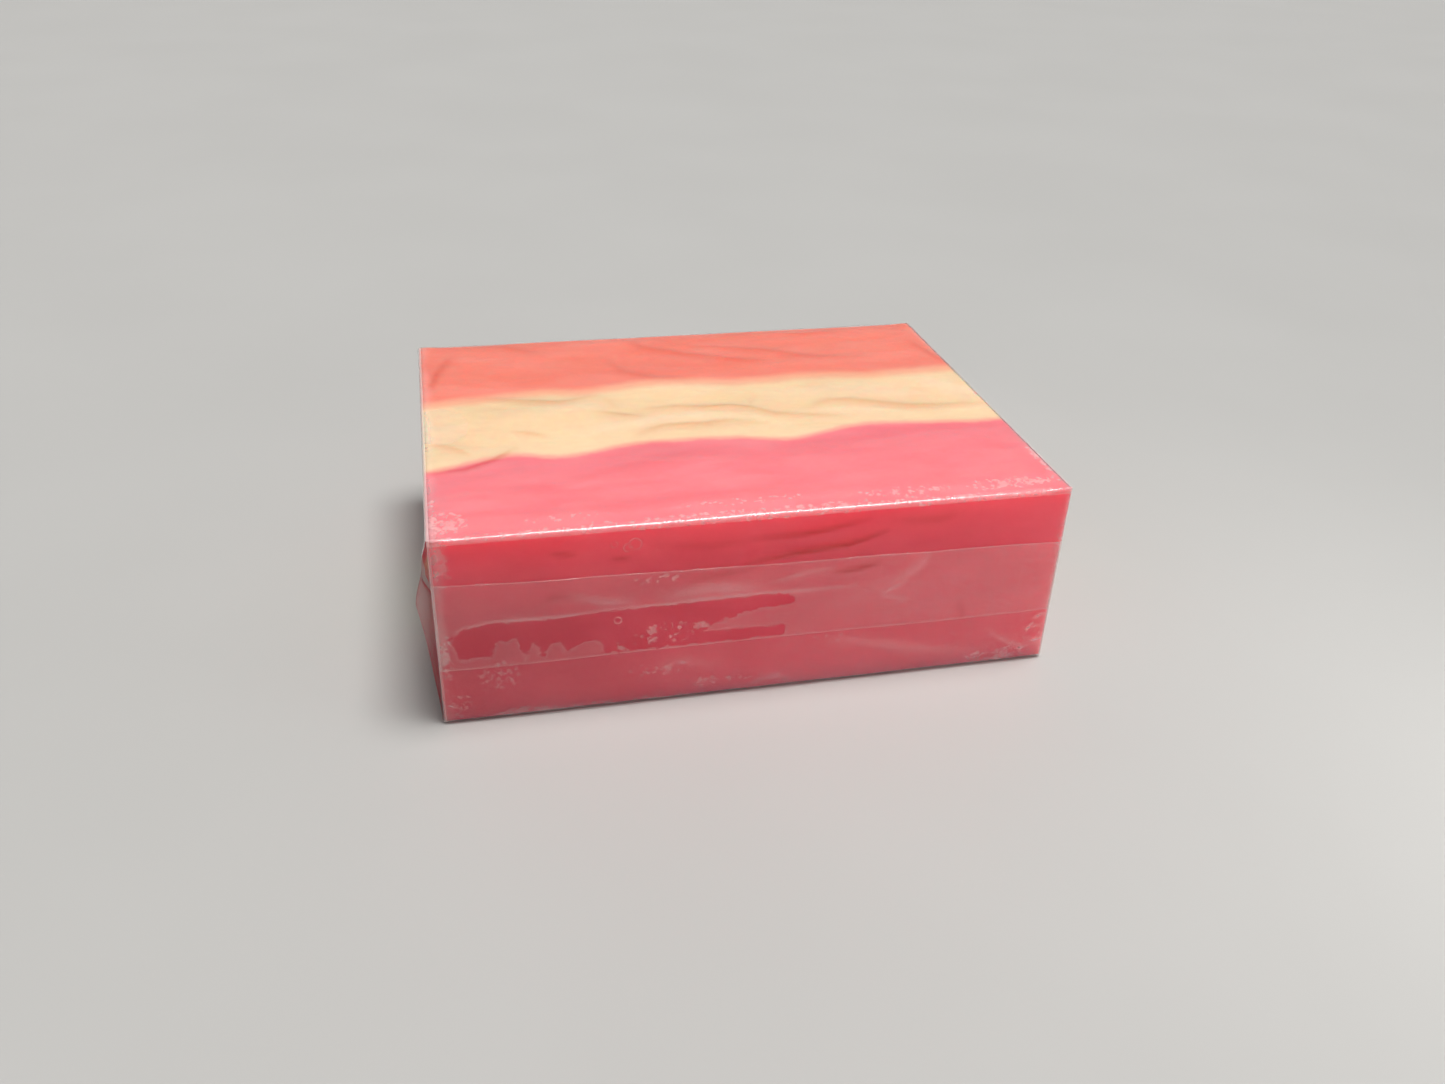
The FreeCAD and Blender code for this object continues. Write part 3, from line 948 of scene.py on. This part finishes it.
def lap_haze_and_reflection(g, blotches, flecks):
    """Haze where the outer sheet covers the inner one; painted reflection makes it grow to the right."""
    haze = g.ramp(g.axis(0), -38.0, 30.0, LAP_HAZE_AND_REFLECTION_LEFT, LAP_HAZE_AND_REFLECTION_RIGHT)
    haze = g.times(haze, g.ramp(blotches, 0.3, 0.7, 0.75, 1.25))
    haze = g.times(haze, g.ramp(flecks, 0.3, 0.7, 0.6, 1.4))
    return g.times(g.attribute("lap"), haze)


def dew(g, on_front, flecks):
    """Fine bubbles under the film: ragged flecks, round drops and a few rings."""
    coverage = g.times_plus(g.attribute("dew"), 0.40, g.math("SUBTRACT", flecks, 0.40))
    cover = g.ramp(coverage, 0.40, 0.54)
    keys = {"Vector": g.place(), "Scale": 1 / DROP_SPACING}
    drops = g.ramp(g.node("TexVoronoi", keys).outputs["Distance"], 0.20, 0.34, 0.75, 0.0)
    drops = g.times(drops, g.ramp(g.attribute("dew"), 0.25, 0.8))
    cover = g.math("MAXIMUM", cover, drops)
    broken = g.ramp(flecks, 0.40, 0.55, 0.2, 0.8)
    for x, z, radius in FRONT_RINGS:
        ring = g.times(g.ring(x, z, radius), broken)
        cover = g.math("MAXIMUM", cover, g.times(ring, on_front))
    return cover


def film_haze(g, on_front, on_top, clinging, streaks, flecks):
    """How milky the film looks: clear where it clings, dewy along some edges, hazy where doubled."""
    blotches = g.noise(size=7.0, detail=3.0, stretch=(1.6, 1.0, 1.0))
    streak_haze = g.times_plus(on_top, 0.045, 0.015)
    haze = g.times(g.ramp(streaks, 0.3, 0.75), streak_haze)
    top_haze = g.ramp(g.axis(1), -30.0, 15.0, TOP_HAZE_FRONT, TOP_HAZE_BACK)
    haze = g.times_plus(on_top, top_haze, haze)
    haze = g.math("ADD", lap_haze_and_reflection(g, blotches, flecks), haze)
    haze = g.times_plus(g.attribute("haze"), PALE_HAZE, haze)
    haze = g.math("ADD", haze, edge_haze(g, blotches))
    haze = g.times(haze, g.times_plus(clinging, -CLING_CLEARS, 1.0))
    haze = g.times(haze, g.times_plus(g.attribute("dark"), -0.8, 1.0), clamp=True)
    return g.times_plus(dew(g, on_front, flecks), DEW_HAZE, haze, clamp=True)


def film_material():
    """Clear film: haze where it stands off the soap, none where it clings to it. Only its outer
    side shows, so a thin shell counts as one sheet."""
    g = Graph("clear_film")
    on_front = g.math("LESS_THAN", g.axis(1), FRONT + 0.8)
    on_top = g.math("GREATER_THAN", g.axis(2), ROOF - 0.8)
    streaks = g.noise(size=3.2, detail=4.0, stretch=(3.2, 1.0, 1.0), roughness=0.55, distortion=0.6)
    flecks = g.noise(size=0.9, detail=4.0, stretch=(1.0, 1.3, 1.0), roughness=0.65, distortion=0.4)
    ragged = g.noise(size=0.75, detail=6.0, stretch=(1.3, 1.0, 1.0), roughness=0.75)
    torn = g.times_plus(ragged, TORN, -TORN / 2)
    torn = g.times(torn, g.math("SUBTRACT", 1.0, on_top))
    depth = g.math("ADD", g.attribute("stuck"), torn)
    rim = g.ramp(g.math("ABSOLUTE", g.math("ADD", depth, 0.1)), 0.05, 0.28, RIM_HAZE, 0.0)
    # Below 0 in the bubble on the top, which makes that place milkier instead of clearer
    clinging = g.times(g.ramp(depth, -0.08, 0.10), g.times_plus(on_top, -1.5, 1.0))
    haze = film_haze(g, on_front, on_top, clinging, streaks, flecks)
    haze = g.times_plus(rim, on_front, haze)

    calm = g.times_plus(clinging, -CLING_CALMS, 1.0)
    height = g.times(g.times_plus(flecks, 0.09, streaks), calm)
    bump = g.node("Bump", {"Height": height, "Strength": 0.35, "Distance": 0.35 * MM}).outputs[0]
    # Painted shade: along dark crease lines the film darkens what shows through it
    crease = g.times(g.attribute("dark"), 0.8, clamp=True)
    shade = g.mix_colour(crease, WHITE, PAINTED_CREASE_SHADE)
    clear = g.node("BsdfTransparent", {"Color": shade}).outputs[0]
    milk = g.node("BsdfDiffuse", {"Color": MILK}).outputs[0]
    # The milk throws only a faint shadow on the soap
    shadow_ray = g.node("LightPath").outputs["Is Shadow Ray"]
    shadow_share = g.times_plus(shadow_ray, -0.7, 1.0)
    milky = g.mix_shader(g.times(haze, shadow_share), clear, milk)
    keys = {"Color": SHINE, "Roughness": g.ramp(flecks, 0.3, 0.7, 0.06, 0.16), "Normal": bump}
    shine = g.node("BsdfGlossy", keys).outputs[0]
    fresnel = g.node("Fresnel", {"IOR": FILM_IOR, "Normal": bump}).outputs[0]
    outside = g.mix_shader(g.times(fresnel, calm), milky, shine)
    through = g.node("BsdfTransparent").outputs[0]
    inside = g.node("NewGeometry").outputs["Backfacing"]
    return g.finish(g.mix_shader(inside, outside, through))


FLOOR_DARKER, FLOOR_PALER = (0.488, 0.478, 0.456, 1), (0.498, 0.488, 0.466, 1)


def floor_material():
    g = Graph("pale_floor")
    cloud = g.noise(size=60.0, detail=3.0)
    colour = g.mix_colour(g.ramp(cloud, 0.3, 0.7), FLOOR_DARKER, FLOOR_PALER)
    fine = g.noise(size=1.5, detail=3.0)
    grain = g.node("Bump", {"Height": fine, "Strength": 0.05, "Distance": 0.1 * MM})
    inputs = {"Base Color": colour, "Roughness": g.ramp(cloud, 0.3, 0.7, 0.58, 0.60)}
    inputs["Normal"] = grain.outputs[0]
    return g.finish(g.node("BsdfPrincipled", inputs).outputs[0])


# ---------------- stage, light and camera

FLOOR_HALF = 1500.0
# The wrapped bar stands on the creases of its film, a hair above the floor
FLOOR_GAP = 0.25
KEY_FROM, KEY_ANGLE, KEY_STRENGTH = (110, -25, 520), 24, 2.9
GLINT_FROM, GLINT_ANGLE, GLINT_STRENGTH = (100, -235, 400), 26, 3.2
FILL_PLACE, FILL_AIM, FILL_SIZE, FILL_POWER = (122, -95, 60), (15, -30, 12), 70, 0.0345
WORLD_COLOUR, WORLD_STRENGTH = (0.92, 0.93, 0.95, 1), 0.29
BACKDROP_STRENGTH = 0.62
# How many faces of film a ray may cross
FILM_CROSSINGS = 48
CAMERA_PLACE = (-35.8, -152.6, 96.5)
CAMERA_FORWARD = (0.20718, 0.83771, -0.50530)
CAMERA_RIGHT = (0.97459, -0.22169, 0.03207)
CAMERA_LENS = 30.45


def stage_floor():
    side = FLOOR_HALF
    corners = [(-side, -side), (side, -side), (side, side), (-side, side)]
    corners = [(x, y, -FLOOR_GAP) for x, y in corners]
    floor = make_mesh("floor", corners, [(0, 1, 2, 3)])
    floor.data.materials.append(floor_material())
    floor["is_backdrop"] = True


def broad_light(name, direction, angle, strength, mirrored):
    """Light from a wide, far lamp, either soft and never mirrored, or seen only in reflections.
    direction runs from the bar to the lamp."""
    lamp = bpy.data.lights.new(name, "SUN")
    lamp.angle, lamp.energy = math.radians(angle), strength
    light = bpy.data.objects.new(name, lamp)
    light.rotation_euler = Vector(direction).to_track_quat("Z", "Y").to_euler()
    light.visible_glossy, light.visible_diffuse = mirrored, not mirrored
    bpy.context.scene.collection.objects.link(light)


def near_light(name, place, aim, size, power):
    """Soft light from a round lamp close by, never mirrored."""
    lamp = bpy.data.lights.new(name, "AREA")
    lamp.shape, lamp.size, lamp.energy = "DISK", size * MM, power
    light = bpy.data.objects.new(name, lamp)
    light.location = Vector(place) * MM
    light.visible_glossy = False
    light.rotation_euler = (Vector(aim) - Vector(place)).to_track_quat("-Z", "Y").to_euler()
    bpy.context.scene.collection.objects.link(light)


def world_light():
    world = bpy.data.worlds.new("studio")
    world.use_nodes = True
    background = world.node_tree.nodes["Background"]
    background.inputs["Color"].default_value = WORLD_COLOUR
    seen = world.node_tree.nodes.new("ShaderNodeLightPath").outputs["Is Camera Ray"]
    strength = world.node_tree.nodes.new("ShaderNodeMapRange")
    strength.inputs["To Min"].default_value = WORLD_STRENGTH
    strength.inputs["To Max"].default_value = BACKDROP_STRENGTH
    world.node_tree.links.new(seen, strength.inputs["Value"])
    world.node_tree.links.new(strength.outputs["Result"], background.inputs["Strength"])
    bpy.context.scene.world = world


def camera():
    lens = bpy.data.cameras.new("camera")
    lens.lens, lens.sensor_width, lens.clip_start = CAMERA_LENS, 36.0, 0.01
    right, back = Vector(CAMERA_RIGHT).normalized(), -Vector(CAMERA_FORWARD).normalized()
    up = back.cross(right).normalized()
    turn = Matrix((right, up, back)).transposed().to_4x4()
    eye = bpy.data.objects.new("camera", lens)
    eye.matrix_world = Matrix.Translation(Vector(CAMERA_PLACE) * MM) @ turn
    bpy.context.scene.collection.objects.link(eye)
    bpy.context.scene.camera = eye


def write_sizes():
    sizes = {"cad_box": CAD_BOX, "visual_box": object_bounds()}
    sizes = {key: [list(corner) for corner in box] for key, box in sizes.items()}


def main():
    soap_layer("pink_soap", None, PINK_TO_CREAM,
               soap_material("pink_soap", PINK, None, CREAM, PINK_GLOW))
    soap_layer("cream_soap", PINK_TO_CREAM, CREAM_TO_CORAL,
               soap_material("cream_soap", CREAM, PINK, CORAL, CREAM_GLOW))
    soap_layer("coral_soap", CREAM_TO_CORAL, None,
               soap_material("coral_soap", CORAL, CREAM, None, CORAL_GLOW))
    film = film_material()
    film_sleeve(film)
    for end, sign in (("left", -1), ("right", 1)):
        for up in (1, -1):
            flap(end, sign, up, film)
        tuck(end, sign, -1, film)
        tuck(end, sign, -1, film, lap=True)
        tuck(end, sign, 1, film)
    stage_floor()
    broad_light("key", KEY_FROM, KEY_ANGLE, KEY_STRENGTH, mirrored=False)
    broad_light("glint", GLINT_FROM, GLINT_ANGLE, GLINT_STRENGTH, mirrored=True)
    near_light("fill", FILL_PLACE, FILL_AIM, FILL_SIZE, FILL_POWER)
    world_light()
    camera()
    scene = bpy.context.scene
    scene.view_settings.view_transform = "Standard"
    scene.cycles.transparent_max_bounces = FILM_CROSSINGS
    write_sizes()


main()
